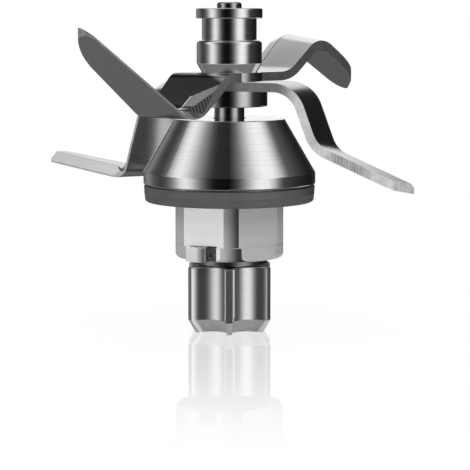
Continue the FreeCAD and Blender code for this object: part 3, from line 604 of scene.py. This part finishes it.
def blade_steel(name, level, plans):
    """Satin sheet steel, with ground bevels and stamped sides on these wings."""
    steel = Finish(name)
    x, y, z = steel.place()
    upward = steel.upward()
    up = upward > up_limit
    out = ((x * x + y * y) ** 0.5) > hub_radius
    side = (upward.size() < side_limit) * out
    ground, line, shine, pale, hatch = 0.0, 0.0, 0.0, 0.0, 0.0
    satin, width, marks, run, painted_light_mask, painted_panel_shade = 0.0, 0.0, 0.0, 0.0, 0.0, 0.0
    for plan in plans:
        length = x * math.cos(plan.heading) + y * math.sin(plan.heading)
        across = y * math.cos(plan.heading) - x * math.sin(plan.heading)
        here = length > 0.0
        to_lead = length * plan.lead[1] + plan.lead[0] * MM - across
        started = ((length - to_lead * bevel_lean) > plan.start * MM) * here * up
        bevel = (to_lead < bevel_width) * started
        line_level, line_half = plan.line
        border = ((to_lead - bevel_width).size() < line_half * MM) * started
        ground = ground + bevel
        hatch = hatch + bevel * plan.hatch
        line = line + border
        shine = shine + border * line_level
        # Painted light: a pale, less metallic sheet on some wings.
        satin = satin + here * up * plan.satin
        # Painted shade: the first panel darkened.
        painted_panel_shade = painted_panel_shade + length.between(*first_panel) * here * up * plan.painted_panel_shade
        # Painted light on the stamped sides, changing from near the hub to further out.
        near, far = plan.side
        pale = pale + length.rise(near_side * MM, far_side * MM, near, far) * here
        # Patches along a stretch where the sides' painted light is dimmed.
        painted_light_mask = painted_light_mask + length.between(*side_dimmed_stretch) * here * plan.side_dimmed
        width = width + across * here
        run = run + length * here
        slant = length * strokes_along + across * strokes_across + z * strokes_up
        marks = marks + slant * here
    brush = steel.grain(width, 2.0)
    soft = steel.cloud(0.07)
    turns = marks * (math.tau / (stroke_gap * MM)) + soft * stroke_waver
    strokes = turns.maths("SINE", turns) * 0.5 + 0.5
    press = steel.grain(run, 3.0, 3.0)
    patch = steel.cloud(0.35, 2.0)
    flat = steel.blend(brush * 0.6 + soft * 0.4, grey(level * 0.85), grey(level * 1.12))
    wheel = steel.blend(strokes.rise(0.1, 0.9), grey(wheel_dark_grey), grey(wheel_pale_grey))
    lapped = steel.blend(brush, grey(level * 0.95), grey(level * 1.3))
    # The line at the bevel's start: painted highlight where pale, painted shade where dark.
    rim = steel.blend(shine, grey(bevel_line_shade_grey), grey(bevel_line_highlight_grey))
    colour = steel.blend(painted_panel_shade, flat, grey(panel_shade_grey))
    colour = steel.blend(satin, colour, grey(sheet_light_grey))
    colour = steel.blend(ground, colour, lapped)
    colour = steel.blend(hatch, colour, wheel)
    colour = steel.blend(line, colour, rim)
    # The stamped sides' painted light, dimmed in patches, over black.
    pale = pale * (1.0 - painted_light_mask * press.rise(0.35, 0.6) * 0.6)
    stamped = steel.blend(pale * (press * 0.5 + patch * 0.7 + 0.4), grey(0.0), grey(1.0))
    steel.feed("Base Color", steel.blend(side, colour, stamped))
    steel.feed("Metallic", 1.0 - side * side_matte - satin * satin_matte - shine * line_matte)
    steel.feed("Roughness", (soft - 0.5) * 0.1 + side * 0.3 + 0.24)
    steel.relief(brush * (1.0 - hatch) * brush_depth + strokes * hatch + press * side, 0.005)
    return steel.material


dress(["upper_blade"], blade_steel("upper_blade_steel", level=0.58, plans=[
    Plan(226.0, (8.8, -0.06), start=12.0, satin=0.0, painted_panel_shade=1.0, hatch=1.0,
         line=(1.0, 0.13), side=(0.16, 0.3)),
    Plan(41.1, (9.1, 0.09), start=6.0, satin=1.0, painted_panel_shade=0.0, hatch=0.0,
         line=(0.0, 0.22), side=(0.12, 0.1))]))
dress(["lower_blade"], blade_steel("lower_blade_steel", level=0.58, plans=[
    Plan(340.3, (9.6, 0.01), start=12.0, satin=0.0, painted_panel_shade=0.0, hatch=0.1,
         line=(0.7, 0.4), side=(0.22, 0.8), side_dimmed=1.0),
    Plan(158.8, (9.2, -0.08), start=12.0, satin=0.1, painted_panel_shade=0.0, hatch=0.0,
         line=(0.3, 0.13), side=(0.3, 0.55))]))
for name in ("upper_blade", "lower_blade"):
    nodes[name].visible_glossy = False

# %% [markdown]
# ## Bearings
# The bearing rings, balls and cages are hard and bright, and hardly marked.

# %% Bearing steel
hard = Finish("bearing_steel", metallic=1.0, roughness=0.12)
hard.place()
hard.feed("Roughness", hard.cloud(0.3) * 0.06 + 0.1)
hard.feed("Base Color", hard.blend(hard.cloud(0.1), grey(0.7), grey(0.78)))
dress([name for name in nodes if "bearing_" in name and "housing" not in name]
      + ["retaining_ring", "garter_spring"], hard.material)

# %% [markdown]
# ## Rubber rings
# The seal ring under the cover is moulded rubber: soft corners, a thin parting line where the two
# halves of the mould met, and a foot a little narrower than its side. A circle is drawn at
# the foot of its profile and pulled up ring by ring with extrude and resize, until the last ring
# is bridged to the first. The other two rubber pieces are made the same way.

# %% Rubber, and a way to turn a ring
def black_rubber():
    """Matte rubber with a fine tooth and a little dust."""
    rubber = Finish("black_rubber", metallic=0.0)
    rubber.place()
    tooth = rubber.cloud(6.0, 2.0)
    dust = rubber.cloud(0.25)
    rubber.feed("Base Color", rubber.blend(dust, grey(0.085), grey(0.125)))
    rubber.feed("Roughness", tooth * 0.12 + 0.42)
    rubber.relief(tooth, 0.008)
    return rubber.material


def rubber_ring(name, node, profile, material):
    """A closed ring around Z; profile holds its corners as (radius, height), in metres."""
    bpy.ops.object.select_all(action="DESELECT")
    radius, height = profile[0]
    bpy.ops.mesh.primitive_circle_add(vertices=180, radius=radius, location=(0, 0, height))
    made = bpy.context.object
    made.name = name
    bpy.ops.object.transform_apply()
    bpy.ops.object.mode_set(mode="EDIT")
    bpy.ops.mesh.select_mode(type="EDGE")
    for next_radius, next_height in profile[1:] + profile[:1]:
        bpy.ops.mesh.extrude_region_move(
            TRANSFORM_OT_translate={"value": (0, 0, next_height - height)})
        scale = next_radius / radius
        bpy.ops.transform.resize(value=(scale, scale, 1), center_override=(0, 0, next_height))
        radius, height = next_radius, next_height
    bpy.ops.mesh.select_all(action="SELECT")
    bpy.ops.mesh.remove_doubles(threshold=0.001 * MM)
    bpy.ops.mesh.normals_make_consistent(inside=False)
    bpy.ops.object.mode_set(mode="OBJECT")
    bpy.ops.object.shade_smooth_by_angle(angle=math.radians(40))
    made.data.materials.append(material)
    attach(made, "housing")
    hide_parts(node)
    print(name, "faces:", len(made.data.polygons))


def reach_of(node):
    """The smallest and the largest distance of a node from the axis."""
    reaches = [math.hypot(point.co.x, point.co.y) for point in nodes[node].data.vertices]
    return min(reaches), max(reaches)


def corner(radius, height, size, start, steps=5):
    """Points on a rounded corner: its centre, its size and the angle it starts from."""
    turns = [math.radians(start + 90 * step / steps) for step in range(steps + 1)]
    return [(radius + size * math.cos(turn), height + size * math.sin(turn)) for turn in turns]


rubber = black_rubber()

# %% Seal ring
soft_foot, soft_top = 0.8 * MM, 0.4 * MM
seam_height, seam_half, seam_stand = 0.55, 0.09 * MM, 0.06 * MM
foot_inset, side_inset = 0.3 * MM, 0.14 * MM

inner, outer = reach_of("seal_ring")
low, high = (end.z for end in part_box("seal_ring"))
outer_foot = outer - foot_inset
seam = low + (high - low) * seam_height
side = outer - side_inset
seal_profile = (corner(inner + soft_top, low + soft_top, soft_top, 180)
                + corner(outer_foot - soft_foot, low + soft_foot, soft_foot, 270)
                + [(side, seam - 2 * seam_half), (side + seam_stand, seam - seam_half),
                   (side + seam_stand, seam + seam_half), (side, seam + 2 * seam_half)]
                + corner(outer - soft_top, high - soft_top, soft_top, 0)
                + corner(inner + soft_top, high - soft_top, soft_top, 90))
rubber_ring("rubber_seal_ring", "seal_ring", seal_profile, rubber)

# %% Cover seal
inner, outer = reach_of("cover_seal")
low, high = (end.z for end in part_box("cover_seal"))
wire = (outer - inner) / 2
middle = (outer + inner) / 2
cover_profile = [(middle + wire * math.cos(turn), (low + high) / 2 + wire * math.sin(turn))
                 for turn in (math.radians(15 * step) for step in range(24))]
rubber_ring("rubber_cover_seal", "cover_seal", cover_profile, rubber)

# %% Shaft seal
lip_wall = 1.4 * MM
lip_round = 0.35 * MM
lip_relief, lip_nose = lip_wall * 0.35, lip_wall * 0.2
groove_depth, groove_inset = lip_wall * 0.6, lip_wall * 0.45

inner, outer = reach_of("shaft_seal")
low, high = (end.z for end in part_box("shaft_seal"))
lip_back = inner + lip_wall
lip_top = high - lip_round
shaft_profile = ([(inner + lip_relief, low), (outer - lip_round, low), (outer, low + lip_round)]
                 + corner(outer - lip_round, high - lip_round, lip_round, 0)
                 + corner(outer - lip_wall + lip_round, high - lip_round, lip_round, 90)
                 + [(outer - lip_wall, low + lip_wall), (lip_back, low + lip_wall),
                    (lip_back, lip_top - groove_depth), (lip_back - groove_inset, lip_top),
                    (inner + lip_nose, lip_top), (inner, lip_top - lip_relief),
                    (inner + lip_relief, lip_top - lip_wall)])
rubber_ring("rubber_shaft_seal", "shaft_seal", shaft_profile, rubber)

# %% [markdown]
# ## Finish
# The view transform stays plain, so colours come out as they are written. At the end the box of
# the dressed object is taken again, beside the box of the solid one taken after loading.

# %% Take the sizes and finish
bpy.context.scene.view_settings.view_transform = "Standard"
low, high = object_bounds()
